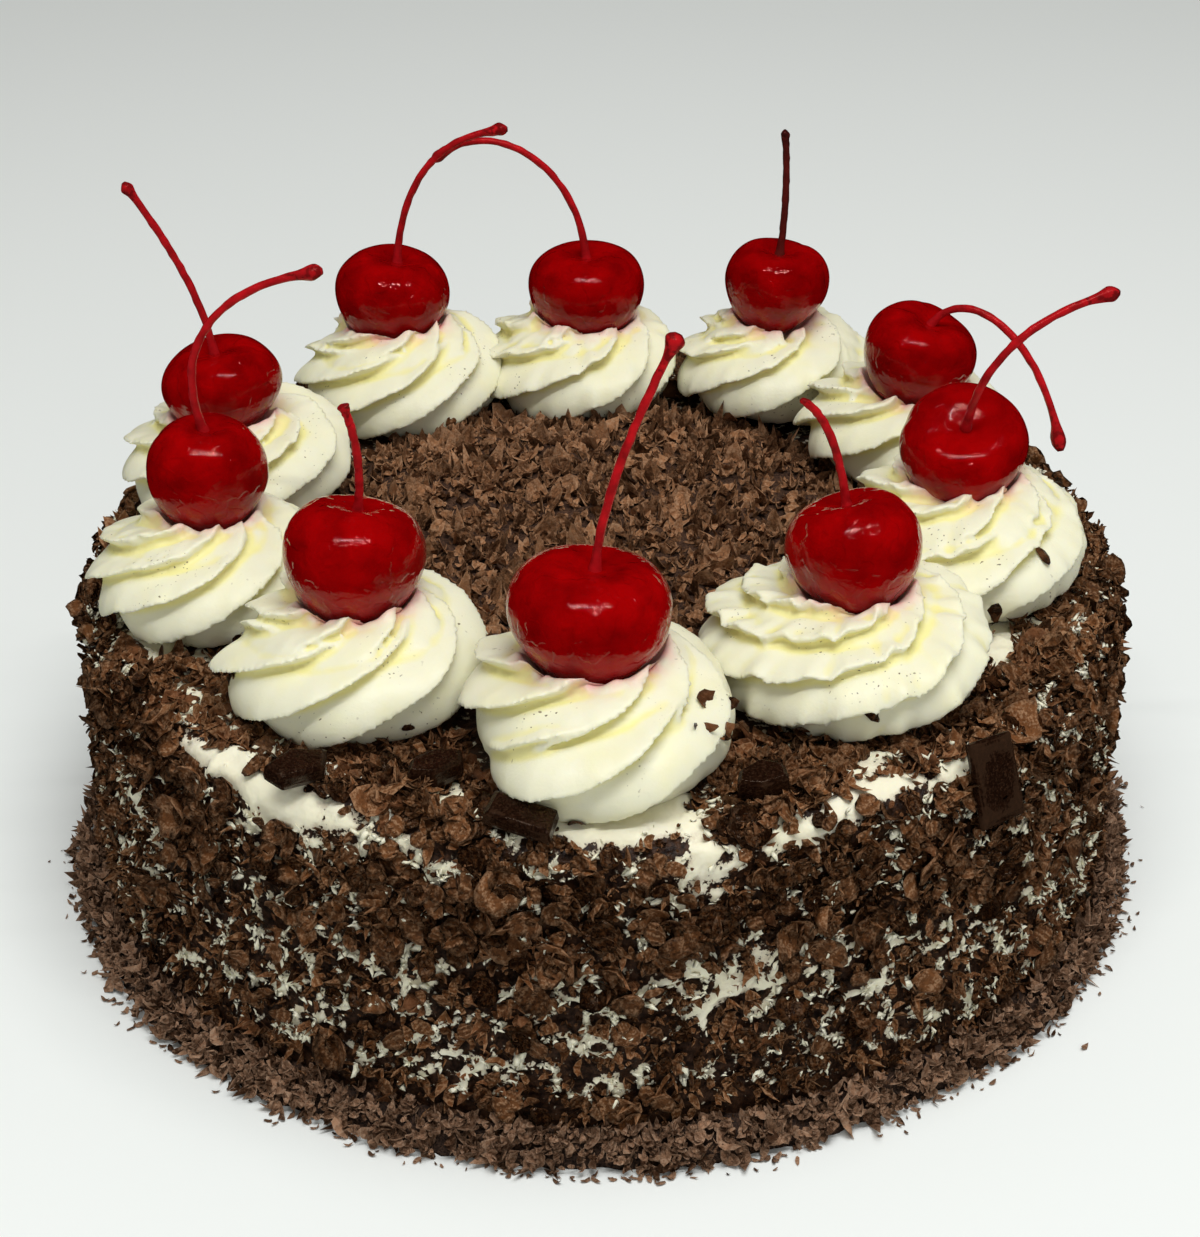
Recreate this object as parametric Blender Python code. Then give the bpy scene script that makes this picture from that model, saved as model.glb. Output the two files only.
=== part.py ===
"""Black forest cake: a cream-coated drum with ten piped swirls, ten cherries on stems,
and chocolate shavings round the base and on top. Metres, +Z up, resting on z = 0."""
import math
import random

import bmesh
import bpy
from mathutils import Matrix, Vector

MM = 0.001

# Cake
BODY_RADIUS = 105.3 * MM
BODY_FLARE = 1.6 * MM
BODY_HEIGHT = 68.2 * MM
RIM_ROUNDING = 7.0 * MM
AROUND = 52
CLEARANCE = 0.4 * MM

# Loose chocolate, as solids with an uneven outline
SKIRT_WIDTH = 6.2 * MM
SKIRT_HEIGHT = 9.5 * MM
BED_RISE = 8.0 * MM

# Piped swirls: a rope of cream wound upward, with a seat for the cherry
SWIRL_TURNS = 3.0
LIP_WIDTH = 1.2 * MM
LIP_BELOW_CHERRY = 4.2 * MM
SWIRL_FOLD = 1.5 * MM
SWIRL_AROUND = 20
SWIRL_PROFILE = ((0.00, 0.90), (0.10, 0.985), (0.21, 1.00), (0.32, 0.99), (0.43, 0.965),
                 (0.54, 0.92), (0.65, 0.86), (0.76, 0.78), (0.87, 0.69), (0.96, 0.58))

# Cherries and stems
CHERRY_AROUND = 12
CHERRY_BANDS = 9
DIMPLE_DEPTH = 1.7 * MM
DIMPLE_SPREAD = 0.42
SEAT_GAP = 0.8 * MM
STEM_RADIUS = 0.85 * MM
STEM_SIDES = 6
STEM_POINTS = 9

# One row for each swirl, clockwise from the front, in millimetres and degrees: swirl centre
# and width; cherry centre, width and height; how far the cherry leans to +X and to +Y
PLACES = (
    ((-0.5, -74.0, 49.4), (-1.9, -76.0, 96.5, 29.1, 24.7), (5, 0)),
    ((-45.9, -53.0, 49.6), (-45.2, -54.8, 95.9, 25.6, 25.3), (8, 12)),
    ((-78.0, -21.3, 45.4), (-76.3, -20.8, 95.9, 22.6, 25.5), (4, 0)),
    ((-79.5, 21.5, 47.0), (-78.8, 21.2, 95.1, 24.4, 22.2), (-9, 0)),
    ((-46.5, 68.0, 46.9), (-46.7, 69.4, 95.1, 25.4, 23.6), (9, 0)),
    ((-4.0, 72.6, 46.6), (-3.3, 73.9, 94.7, 25.8, 23.3), (0, 0)),
    ((38.9, 67.0, 44.0), (39.0, 67.6, 98.7, 22.6, 22.8), (5, 0)),
    ((66.5, 33.0, 49.0), (66.6, 33.6, 96.5, 24.0, 22.6), (19, -6)),
    ((71.0, -8.6, 52.4), (71.5, -8.4, 95.3, 25.4, 22.5), (-3, -34)),
    ((46.0, -49.4, 53.4), (46.4, -51.8, 96.0, 24.4, 24.4), (-12, 12)),
)
# Stem of each cherry: handle out of the cherry, handle before the tip, tip, knob width,
# all measured from the foot of the stem
STEMS = (
    ((1, 1, 14), (8, 5, 28), (14, 8, 40), 3.2),
    ((1, 0, 8), (0, 0, 15), (-2, 0, 20), 2.4),
    ((-7, 0, 18), (5, 0, 30), (24, 0, 32), 3.2),
    ((-1, 0, 13), (-9, 0, 26), (-15, 0, 36), 3.0),
    ((1, 0, 17), (9, -1, 29), (25, -1, 30), 3.0),
    ((-1, 0, 21), (-21, 2, 33), (-34, 2, 21), 3.0),
    ((1, 0, 8), (1, 0, 18), (0, 0, 27), 2.0),
    ((5, -1, 11), (22, -9, 2), (26, -19, -21), 3.0),
    ((0, -8, 16), (9, -4, 25), (27, 0, 28), 3.0),
    ((-1, 0, 8), (-4, 0, 18), (-9, 0, 20), 1.2),
)
# Large chocolate pieces: name, centre, size, and turn about X, Y and Z in degrees
CHUNKS = (
    ("chocolate_bar", (-13.6, -101.2, 71.0), (15.0, 7.0, 3.6), (17, 4, -24), 4),
    ("chocolate_wedge", (-53.6, -87.0, 71.6), (13.5, 7.5, 3.8), (16, 3, 31), 5),
    ("chocolate_shard", (71.0, -79.4, 64.0), (13.0, 20.0, 1.8), (74, 0, 41), 4),
    ("chocolate_stack", (-29.0, -87.0, 71.6), (12.5, 7.0, 4.2), (6, -5, 24), 6),
    ("chocolate_curl", (28.0, -91.0, 71.6), (11.0, 7.5, 4.2), (8, -3, 20), 6),
)


def material(name, colour, roughness):
    """A plain finish for one kind of food."""
    made = bpy.data.materials.new(name)
    made.use_nodes = True
    shader = made.node_tree.nodes["Principled BSDF"]
    shader.inputs["Base Color"].default_value = (*colour, 1.0)
    shader.inputs["Roughness"].default_value = roughness
    shader.inputs["Metallic"].default_value = 0.0
    made.diffuse_color = (*colour, 1.0)
    return made


def add(name, verts, faces, finish, group):
    """Put a closed solid into the cake's collection."""
    mesh = bpy.data.meshes.new(name)
    mesh.from_pydata([tuple(v) for v in verts], [], faces)
    mesh.materials.append(finish)
    mesh.validate()
    made = bpy.data.objects.new(name, mesh)
    group.objects.link(made)
    return made


def loft(name, rings, finish, group, hub_drop=0.0):
    """Skin a stack of rings from the bottom up, closed by a fan at each end."""
    count = len(rings[0])
    verts = [v for ring in rings for v in ring]
    faces = []
    for row in range(len(rings) - 1):
        low = row * count
        for k in range(count):
            step = (k + 1) % count
            faces.append((low + k, low + step, low + count + step, low + count + k))
    for row, flip in ((0, True), (len(rings) - 1, False)):
        ring = rings[row]
        hub = len(verts)
        sunk = Vector((0, 0, 0 if flip else -hub_drop))
        verts.append(sum((Vector(v) for v in ring), Vector()) / count + sunk)
        for k in range(count):
            pair = (row * count + k, row * count + (k + 1) % count)
            faces.append((pair[1], pair[0], hub) if flip else (pair[0], pair[1], hub))
    return add(name, verts, faces, finish, group)


def hoop(name, sections, finish, group):
    """Skin a closed chain of equal sections, such as a ring round the cake."""
    count = len(sections[0])
    verts = [v for section in sections for v in section]
    faces = []
    for s in range(len(sections)):
        here = s * count
        there = ((s + 1) % len(sections)) * count
        for k in range(count):
            step = (k + 1) % count
            faces.append((here + k, there + k, there + step, here + step))
    return add(name, verts, faces, finish, group)


def body_radius(angle, z):
    """The drum's outline: nearly round, a little wider at the foot, rounded at the rim."""
    uneven = 0.5 * MM * math.sin(3 * angle + 0.6) + 0.4 * MM * math.sin(7 * angle)
    radius = BODY_RADIUS + uneven + BODY_FLARE * (1 - z / BODY_HEIGHT)
    rise = max(0.0, z - (BODY_HEIGHT - RIM_ROUNDING)) / RIM_ROUNDING
    return radius - RIM_ROUNDING * (1 - math.sqrt(max(0.0, 1 - rise * rise)))


def circle(count):
    return [2 * math.pi * k / count for k in range(count)]


def build_body(finish, group):
    """The cream-coated drum, solid inside, flat on z = 0."""
    levels = [0.0, 14 * MM, 34 * MM, BODY_HEIGHT - RIM_ROUNDING]
    levels += [BODY_HEIGHT - RIM_ROUNDING * (1 - math.sin(a)) for a in (0.55, 1.05)]
    levels.append(BODY_HEIGHT)
    rings = []
    for z in levels:
        rings.append([(body_radius(a, z) * math.cos(a), body_radius(a, z) * math.sin(a), z)
                      for a in circle(AROUND)])
    loft("cake_body", rings, finish, group)


def build_skirt(finish, group):
    """Shavings heaped against the foot of the cake, to their uneven outline."""
    chance = random.Random(4)
    sections = []
    for a in circle(AROUND):
        inner = body_radius(a, 0.0) + CLEARANCE
        wide = SKIRT_WIDTH * chance.uniform(0.85, 1.15) * (1.0 - 0.18 * max(0.0, -math.sin(a)))
        high = SKIRT_HEIGHT * chance.uniform(0.75, 1.1)
        outline = ((0, 0), (wide, 0), (0.8 * wide, 0.4 * high), (0.35 * wide, 0.85 * high),
                   (0, high))
        sections.append([((inner + r) * math.cos(a), (inner + r) * math.sin(a), z)
                         for r, z in outline])
    hoop("shavings_skirt", sections, finish, group)


def reach(origin, angle, swirls):
    """How far a ray from a point inside the ring runs before it meets a swirl."""
    heading = Vector((math.cos(angle), math.sin(angle)))
    nearest = 78 * MM
    for (x, y), radius in swirls:
        to = Vector((x, y)) - origin
        along = to.dot(heading)
        aside2 = to.length_squared - along * along
        keep = radius + 1.2 * MM
        if along > 0 and aside2 < keep * keep:
            nearest = min(nearest, along - math.sqrt(keep * keep - aside2))
    return nearest


def build_bed(finish, group):
    """Shavings mounded inside the ring of swirls."""
    chance = random.Random(11)
    origin = Vector((-2.0 * MM, 4.0 * MM))
    swirls = [((s[0] * MM, s[1] * MM), s[2] * MM / 2) for s, _, _ in PLACES]
    angles = circle(40)
    edge = [reach(origin, a, swirls) for a in angles]
    edge = [min(edge[k], edge[k - 1] + 5 * MM, edge[(k + 1) % 40] + 5 * MM) for k in range(40)]
    base = BODY_HEIGHT + CLEARANCE
    rings = [[(origin.x + edge[k] * math.cos(a), origin.y + edge[k] * math.sin(a), base)
              for k, a in enumerate(angles)]]
    for share in (0.95, 0.78, 0.52, 0.26):
        rise = BED_RISE * (1.0 - 0.75 * share ** 4)
        rings.append([(origin.x + edge[k] * share * math.cos(a),
                       origin.y + edge[k] * share * math.sin(a),
                       base + rise * chance.uniform(0.8, 1.05))
                      for k, a in enumerate(angles)])
    loft("shavings_bed", rings, finish, group)


def tilt_of(lean):
    """Turn that tips a cherry by (degrees to +X, degrees to +Y)."""
    return Matrix.Rotation(math.radians(lean[0]), 3, "Y") @ Matrix.Rotation(
        math.radians(-lean[1]), 3, "X")


def build_swirl(index, finish, group):
    """Folds that climb counter-clockwise, flattened where two swirls press together."""
    (x, y, width), (cx, cy, cz, cherry_width, cherry_height), _ = PLACES[index]
    centre = Vector((x, y)) * MM
    radius = width * MM / 2
    base = BODY_HEIGHT + CLEARANCE
    seat = Vector((cx, cy, cz)) * MM
    seat_radius = cherry_width * MM / 2 + SEAT_GAP
    seat_depth = cherry_height * MM / 2 + SEAT_GAP
    lip = seat.z - LIP_BELOW_CHERRY
    height = lip - base
    start = 1.9 * index
    walls = []
    for other, (spot, _, _) in enumerate(PLACES):
        gap = Vector((spot[0], spot[1])) * MM - centre
        if other != index and gap.length < radius + spot[2] * MM / 2 + 2 * MM:
            share = radius / (radius + spot[2] * MM / 2)
            walls.append((gap.normalized(), gap.length * share - CLEARANCE / 2))
    rings = []
    for share, swell in SWIRL_PROFILE:
        ring = []
        for a in circle(SWIRL_AROUND):
            fold = math.cos(a + start - 2 * math.pi * SWIRL_TURNS * share)
            out = radius * swell + SWIRL_FOLD * (fold - 0.5) * min(1.0, 0.4 + 3 * share)
            spot = Vector((math.cos(a), math.sin(a))) * out
            for normal, limit in walls:
                spot -= normal * max(0.0, spot.dot(normal) - limit)
            z = base + height * share
            depth = min(1.0, (seat.z - z) / seat_depth)
            clear = seat_radius * math.sqrt(1.0 - depth * depth) + LIP_WIDTH
            spot += centre - seat.xy
            if spot.length < clear:
                spot *= clear / spot.length
            ring.append((seat.x + spot.x, seat.y + spot.y, z))
        rings.append(ring)
    for share in (0.82, 0.45):
        across = seat_radius * share
        drop = math.sqrt(1.0 - share ** 2) * seat_depth
        rings.append([(seat.x + across * math.cos(a), seat.y + across * math.sin(a),
                       seat.z - drop - SEAT_GAP / 2) for a in circle(SWIRL_AROUND)])
    loft(f"rosette_{index + 1:02d}", rings, finish, group,
         hub_drop=seat_depth - drop + SEAT_GAP / 2)


def build_cherry(index, finish, group):
    """A ball squashed or drawn out a little, with a dimple where the stem goes in."""
    _, (x, y, z, width, height), lean = PLACES[index]
    ball = bmesh.new()
    bmesh.ops.create_uvsphere(ball, u_segments=CHERRY_AROUND, v_segments=CHERRY_BANDS, radius=1.0)
    for vert in ball.verts:
        across, up = vert.co.xy.length, vert.co.z
        sink = DIMPLE_DEPTH * math.exp(-(across / DIMPLE_SPREAD) ** 2) if up > 0 else 0.0
        vert.co = (vert.co.x * width * MM / 2, vert.co.y * width * MM / 2,
                   up * height * MM / 2 - sink)
    name = f"cherry_{index + 1:02d}"
    mesh = bpy.data.meshes.new(name)
    ball.to_mesh(mesh)
    ball.free()
    mesh.materials.append(finish)
    made = bpy.data.objects.new(name, mesh)
    group.objects.link(made)
    made.matrix_world = Matrix.Translation(Vector((x, y, z)) * MM) @ tilt_of(lean).to_4x4()


def build_stem(index, finish, group):
    """A bent stalk on a Bezier arc, flared at its foot and thickened at its tip."""
    _, (x, y, z, _, height), lean = PLACES[index]
    rise = height * MM / 2 - DIMPLE_DEPTH + CLEARANCE
    foot = Vector((x, y, z)) * MM + tilt_of(lean) @ Vector((0, 0, rise))
    first, second, tip = (Vector(h) * MM for h in STEMS[index][:3])
    knob = STEMS[index][3] * MM / 2
    arc = bpy.data.curves.new("stalk", "CURVE")
    arc.dimensions = "3D"
    arc.bevel_depth = STEM_RADIUS
    arc.bevel_resolution = (STEM_SIDES - 4) // 2
    arc.use_fill_caps = True
    spline = arc.splines.new("POLY")
    spline.points.add(STEM_POINTS - 1)
    for k, point in enumerate(spline.points):
        t = (k / (STEM_POINTS - 1)) ** 0.9
        place = foot + 3 * t * (1 - t) ** 2 * first + 3 * t * t * (1 - t) * second + t ** 3 * tip
        point.co = (*place, 1.0)
        point.radius = 1.0 + 0.35 * (1 - t) ** 6
        if k == STEM_POINTS - 1:
            point.radius = knob / STEM_RADIUS
    drawn = bpy.data.objects.new("stalk", arc)
    group.objects.link(drawn)
    bpy.context.view_layer.update()
    mesh = bpy.data.meshes.new_from_object(drawn)
    bpy.data.objects.remove(drawn)
    name = f"stem_{index + 1:02d}"
    mesh.name = name
    mesh.materials.clear()
    mesh.materials.append(finish)
    made = bpy.data.objects.new(name, mesh)
    group.objects.link(made)
    weld(made)


def weld(made):
    """Join the tube and its two caps into one closed skin."""
    skin = bmesh.new()
    skin.from_mesh(made.data)
    bmesh.ops.remove_doubles(skin, verts=skin.verts, dist=0.01 * MM)
    bmesh.ops.recalc_face_normals(skin, faces=skin.faces)
    skin.to_mesh(made.data)
    skin.free()


def build_chunk(row, finish, group):
    """A broken piece of chocolate: an uneven outline with a smaller top face."""
    name, place, size, turn, corners = row
    chance = random.Random(name)
    half = Vector(size) * MM / 2
    phase = math.pi / 4 if corners == 4 else 0.3
    outline = []
    for a in circle(corners):
        grow = chance.uniform(0.86, 1.06) * (1.25 if corners == 4 else 1.0)
        outline.append((half.x * grow * math.cos(a + phase), half.y * grow * math.sin(a + phase)))
    rings = [[(x * s, y * s, z) for x, y in outline]
             for s, z in ((0.94, -half.z), (1.0, -0.4 * half.z), (0.97, 0.6 * half.z), (0.8, half.z))]
    made = loft(name, rings, finish, group)
    spin = Matrix.Rotation(math.radians(turn[2]), 4, "Z") @ Matrix.Rotation(
        math.radians(turn[0]), 4, "X") @ Matrix.Rotation(math.radians(turn[1]), 4, "Y")
    made.matrix_world = Matrix.Translation(Vector(place) * MM) @ spin


for old in list(bpy.data.objects):
    bpy.data.objects.remove(old)

cake = bpy.data.collections.new("black_forest_cake")
bpy.context.scene.collection.children.link(cake)
cream = material("whipped_cream", (0.86, 0.80, 0.66), 0.45)
shavings = material("chocolate_shavings", (0.075, 0.035, 0.022), 0.6)
cherry_skin = material("cherry_skin", (0.32, 0.004, 0.012), 0.12)
stalk = material("cherry_stalk", (0.36, 0.012, 0.014), 0.3)
chocolate = material("dark_chocolate", (0.045, 0.018, 0.011), 0.35)

build_body(cream, cake)
build_skirt(shavings, cake)
build_bed(shavings, cake)
for place in range(len(PLACES)):
    build_swirl(place, cream, cake)
    build_cherry(place, cherry_skin, cake)
    build_stem(place, stalk, cake)
for chunk in CHUNKS:
    build_chunk(chunk, chocolate, cake)
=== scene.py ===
"""Looks of a black forest cake: cream coat, pressed-on shavings, piped swirls and stemmed cherries."""

from types import SimpleNamespace

import bpy
import numpy as np
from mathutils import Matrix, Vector


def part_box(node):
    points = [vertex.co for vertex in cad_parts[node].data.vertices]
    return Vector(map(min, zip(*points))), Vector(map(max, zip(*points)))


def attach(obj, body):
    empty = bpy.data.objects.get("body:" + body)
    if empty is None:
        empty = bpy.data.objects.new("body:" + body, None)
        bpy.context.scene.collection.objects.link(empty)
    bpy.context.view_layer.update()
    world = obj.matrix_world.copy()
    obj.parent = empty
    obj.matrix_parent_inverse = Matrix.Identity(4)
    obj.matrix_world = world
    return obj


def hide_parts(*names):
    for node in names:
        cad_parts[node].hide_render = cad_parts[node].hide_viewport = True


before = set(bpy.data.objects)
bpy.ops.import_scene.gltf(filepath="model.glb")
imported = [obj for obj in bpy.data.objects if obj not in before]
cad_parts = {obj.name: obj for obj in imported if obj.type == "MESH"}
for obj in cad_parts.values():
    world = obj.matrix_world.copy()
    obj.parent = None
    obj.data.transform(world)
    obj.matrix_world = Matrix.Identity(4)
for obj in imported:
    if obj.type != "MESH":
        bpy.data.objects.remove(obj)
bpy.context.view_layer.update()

MM = 0.001

# ---------------------------------------------------------------------------------------
# Cream coat: an 8 inch sponge, masked all over with whipped cream by palette knife.
# It is seen only where the shavings were not pressed on: in a band at the rim, in streaks
# on the side, and as smears of cream dragged over the chocolate.
COAT_FOOT_RADIUS = 106.6 * MM
COAT_RIM_RADIUS = 105.1 * MM
COAT_TOP = 67.9 * MM
COAT_ROUNDING = 7.0 * MM
COAT_ARC = COAT_ROUNDING * np.pi / 2
SIDE_LENGTH = COAT_TOP - COAT_ROUNDING
COAT_COLUMNS = 760
COAT_ROWS = 92
COAT_RELIEF_END = 92 * MM
COAT_INNER_RINGS = np.array([100, 104]) * MM
MASK_CREAM = (0.86, 0.825, 0.67)
# Butter-yellow tone of the cream, and the colour of the painted shade in the swirls' folds
BUTTER_TONE_AND_FOLD_SHADE = (0.84, 0.79, 0.36)
DUSTED_CREAM = (0.42, 0.30, 0.22)
# Under the shavings the coat is dark brown: crumbs, and painted shade in the gaps between the flakes
CRUMB_AND_SHADE_DEEP = (0.010, 0.0028, 0.0009)
CRUMB_AND_SHADE_PALE = (0.085, 0.033, 0.012)
NOISE_CELLS = 32
SEAM_SPACING = 5.5 * MM
SEAM_WIDTH = 0.11
# A long flake keeps this much further from a seam, per metre of its half length
SEAM_MARGIN = 60
# The bare band behind the rim, and the covered band at the foot, whose dark coat is the painted shadow in
# the groove above the skirt: where (mm of run) and how deep (mm)
RIM_BAND = (70, 5.5)
SHADOWED_FOOT_BAND = (9, 4)
# A patch stronger than this is smooth bare cream; a weaker one counts by the share below it, and
# is mostly a net of seams between the flakes
SMOOTH_PATCH = 0.55
WEAK_SHARE = 0.32
# Where the coat shows: angle (degrees), run up the side and over the rim (mm), half sizes, strength
BARE_PATCHES = (
    (-134, 67, 6, 4, 0.62), (-127, 66, 6, 4, 0.75), (-119, 65, 6, 4, 0.8), (-112, 70, 5, 4, 0.5),
    (-124, 58, 4, 4, 0.58), (-113, 57, 6, 4, 0.54), (-107, 63, 5, 4, 0.5), (-106, 74, 5, 4, 0.8),
    (-93, 72, 6, 4, 0.9), (-86, 71, 6, 4, 1.0), (-89, 77, 8, 4, 0.9), (-81, 61, 3, 5, 0.75),
    (-76, 62, 3, 3, 0.5), (-71, 65, 3, 3, 0.8), (-65, 67, 4, 3.5, 1.0), (-59, 69, 4, 3, 0.8),
    (-52, 67, 3, 3, 0.7), (-60, 76, 5, 4, 0.7), (-25, 84, 8, 5, 0.9), (-32, 34, 15, 22, 0.3),
    (-145, 76, 7, 5, 0.8), (-155, 74, 6, 5, 0.7),
    (-107, 37, 9, 6, 0.5), (-96, 35, 8, 5, 0.5), (-84, 32, 7, 5, 0.55), (-77, 38, 6, 8, 0.6),
    (-69, 39, 7, 5, 0.5), (-60, 34, 8, 6, 0.5), (-52, 27, 7, 6, 0.5), (-46, 36, 5, 7, 0.54),
    (-40, 50, 6, 9, 0.52), (-47, 58, 4, 4, 0.4), (-27, 26, 8, 9, 0.54), (-23, 46, 7, 7, 0.54),
    (-121, 22, 8, 5, 0.4), (-108, 17, 9, 5, 0.45), (-94, 17, 9, 5, 0.45), (-84, 18, 6, 4, 0.4),
    (-68, 14, 8, 4, 0.45), (-56, 15, 8, 5, 0.5), (-43, 12, 6, 5, 0.4), (-148, 43, 6, 6, 0.6),
    (-143, 33, 6, 6, 0.5), (-163, 30, 8, 9, 0.5), (-157, 10, 7, 4, 0.35), (-138, 16, 7, 6, 0.4),
)


def lattice_noise(points, grain, seed):
    """Smooth noise from -1 to 1: random numbers on a cubic lattice, blended by smoothstep weights."""
    table = np.random.default_rng(seed).random((NOISE_CELLS,) * 3) * 2 - 1
    place = np.asarray(points) / grain
    cell = np.floor(place).astype(int)
    share = place - cell
    share = share * share * (3 - 2 * share)
    total = np.zeros(place.shape[:-1])
    for corner in np.ndindex(2, 2, 2):
        weight = np.prod(np.where(corner, share, 1 - share), axis=-1)
        index = (cell + corner) % NOISE_CELLS
        total += weight * table[index[..., 0], index[..., 1], index[..., 2]]
    return total


def coat_surface(angle, run):
    """Point and outward normal: up the side by run, round a quarter circle, then in over the top."""
    uneven = 0.5 * MM * np.sin(3 * angle + 0.6) + 0.4 * MM * np.sin(7 * angle)
    foot = COAT_FOOT_RADIUS - COAT_RIM_RADIUS
    side = np.clip(run, 0, SIDE_LENGTH)
    turn = np.clip((run - SIDE_LENGTH) / COAT_ROUNDING, 0, np.pi / 2)
    inward = np.clip(run - SIDE_LENGTH - COAT_ARC, 0, None)
    radius = COAT_RIM_RADIUS + foot * (1 - side / SIDE_LENGTH) + uneven
    radius = radius - COAT_ROUNDING * (1 - np.cos(turn)) - inward
    height = side + COAT_ROUNDING * np.sin(turn)
    point = np.stack([radius * np.cos(angle), radius * np.sin(angle), height], axis=-1)
    normal = np.stack([np.cos(turn) * np.cos(angle), np.cos(turn) * np.sin(angle), np.sin(turn)], axis=-1)
    return point, normal


def seam(point):
    """Distance from the nearest seam of cream, in noise units: the size of a slow noise through zero."""
    coarse = lattice_noise(point * [1, 1, 1.5], SEAM_SPACING, 6)
    return coarse + 0.30 * lattice_noise(point, 0.4 * SEAM_SPACING, 10)


def cover(angle, run, half_length=0.0):
    """How thickly shavings cover the coat, 0 to 1: 1 - (bare patches + seams * thinness) above the foot,
    each seam a bell curve of the distance from it, each patch a bell curve in angle and in run. At the
    foot it stays 1, so the coat there is painted dark as the shadow in the groove above the skirt."""
    point, _ = coat_surface(angle, run)
    thin = 0.20 + 0.26 * lattice_noise(point, 15 * MM, 3) + 0.10 * lattice_noise(point, 5 * MM, 4)
    mottled = 0.35 * lattice_noise(point, 3.5 * MM, 11)
    bare = mottled - 0.12
    for at, height, wide, high, strength in BARE_PATCHES:
        aside = (np.degrees(angle) - at + 180) % 360 - 180
        spot = strength * np.exp(-(aside / wide) ** 2 - ((run / MM - height) / high) ** 2)
        thin = thin + spot
        bare = bare + spot * (1.0 if strength > SMOOTH_PATCH else WEAK_SHARE)
    behind = 0.5 * (1 + np.sin(angle))
    rim = np.exp(-((run / MM - RIM_BAND[0]) / RIM_BAND[1]) ** 2)
    bare = bare + behind * rim * (0.45 + 0.5 * lattice_noise(point, 11 * MM, 5))
    line = np.exp(-(seam(point) / (SEAM_WIDTH + SEAM_MARGIN * half_length)) ** 2)
    # Nothing is bare below the foot band, so the coat there shows the painted groove shadow
    above_foot_shadow = np.clip((run / MM - SHADOWED_FOOT_BAND[0]) / SHADOWED_FOOT_BAND[1], 0, 1)
    amount = 1 - (np.clip(1.7 * bare - 0.35, 0, 1) + line * np.clip(1.5 * thin, 0, 0.92)) * above_foot_shadow
    return np.clip(amount, 0.0, 1.0)


def new_piece(name, verts, faces):
    """An object at the origin, with its place in its mesh."""
    mesh = bpy.data.meshes.new(name)
    mesh.from_pydata(verts.tolist(), [], faces)
    made = bpy.data.objects.new(name, mesh)
    bpy.context.scene.collection.objects.link(made)
    return made


def skin(name, grid):
    """A closed mesh from rows by columns of points: each row is a ring, and each end ring gets a hub."""
    rows, columns = grid.shape[:2]
    verts = np.vstack([grid.reshape(-1, 3), grid[0].mean(axis=0), grid[-1].mean(axis=0)])
    index = np.arange(rows * columns).reshape(rows, columns)
    ahead = np.roll(index, -1, axis=1)
    quads = np.stack([index[:-1], ahead[:-1], ahead[1:], index[1:]], axis=-1).reshape(-1, 4)
    first = np.stack([ahead[0], index[0], np.full(columns, rows * columns)], axis=-1)
    last = np.stack([index[-1], ahead[-1], np.full(columns, rows * columns + 1)], axis=-1)
    made = new_piece(name, verts, quads.tolist() + first.tolist() + last.tolist())
    made.data.shade_smooth()
    return made


def mark(piece, name, values):
    """A named number at each vertex, for the material to read."""
    layer = piece.data.attributes.new(name, "FLOAT", "POINT")
    layer.data.foreach_set("value", np.asarray(values, dtype=np.float32).ravel())


def node_tools(name):
    """A material, its Principled shader, and short ways to add nodes and to join them: grain is a noise
    of a size, reading a mark of the mesh, spread a change of range, blend a mix of two colours."""
    made = bpy.data.materials.new(name)
    made.use_nodes = True
    tree = made.node_tree
    shader = tree.nodes["Principled BSDF"]

    def add(kind, values=None, **settings):
        node = tree.nodes.new(kind)
        for key, value in settings.items():
            setattr(node, key, value)
        for key, value in (values or {}).items():
            if isinstance(value, bpy.types.NodeSocket):
                tree.links.new(value, node.inputs[key])
            else:
                node.inputs[key].default_value = value
        return node

    def grain(size, detail=2.0, rough=0.5):
        place = add("ShaderNodeTexCoord").outputs["Object"]
        return add("ShaderNodeTexNoise", {"Vector": place, "Scale": 1.0 / size, "Detail": detail,
                                          "Roughness": rough}).outputs[0]

    def reading(label):
        return add("ShaderNodeAttribute", attribute_name=label).outputs["Fac"]

    def sum_of(first, second, operation="ADD"):
        return add("ShaderNodeMath", {0: first, 1: second}, operation=operation).outputs[0]

    def spread(value, low, high, to_low=0.0, to_high=1.0):
        return add("ShaderNodeMapRange", {0: value, 1: low, 2: high, 3: to_low, 4: to_high}).outputs[0]

    def blend(factor, first, second):
        first, second = (end if isinstance(end, bpy.types.NodeSocket) else (*end, 1.0)
                         for end in (first, second))
        return add("ShaderNodeMix", {0: factor, 6: first, 7: second}, data_type="RGBA").outputs[2]

    def feed(socket, value):
        tree.links.new(value, shader.inputs[socket])

    def relief(height, distance, strength):
        node = add("ShaderNodeBump", {"Height": height, "Distance": distance, "Strength": strength})
        feed("Normal", node.outputs[0])

    return made, shader, SimpleNamespace(grain=grain, reading=reading, sum_of=sum_of, spread=spread,
                                         blend=blend, relief=relief, feed=feed)


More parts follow.
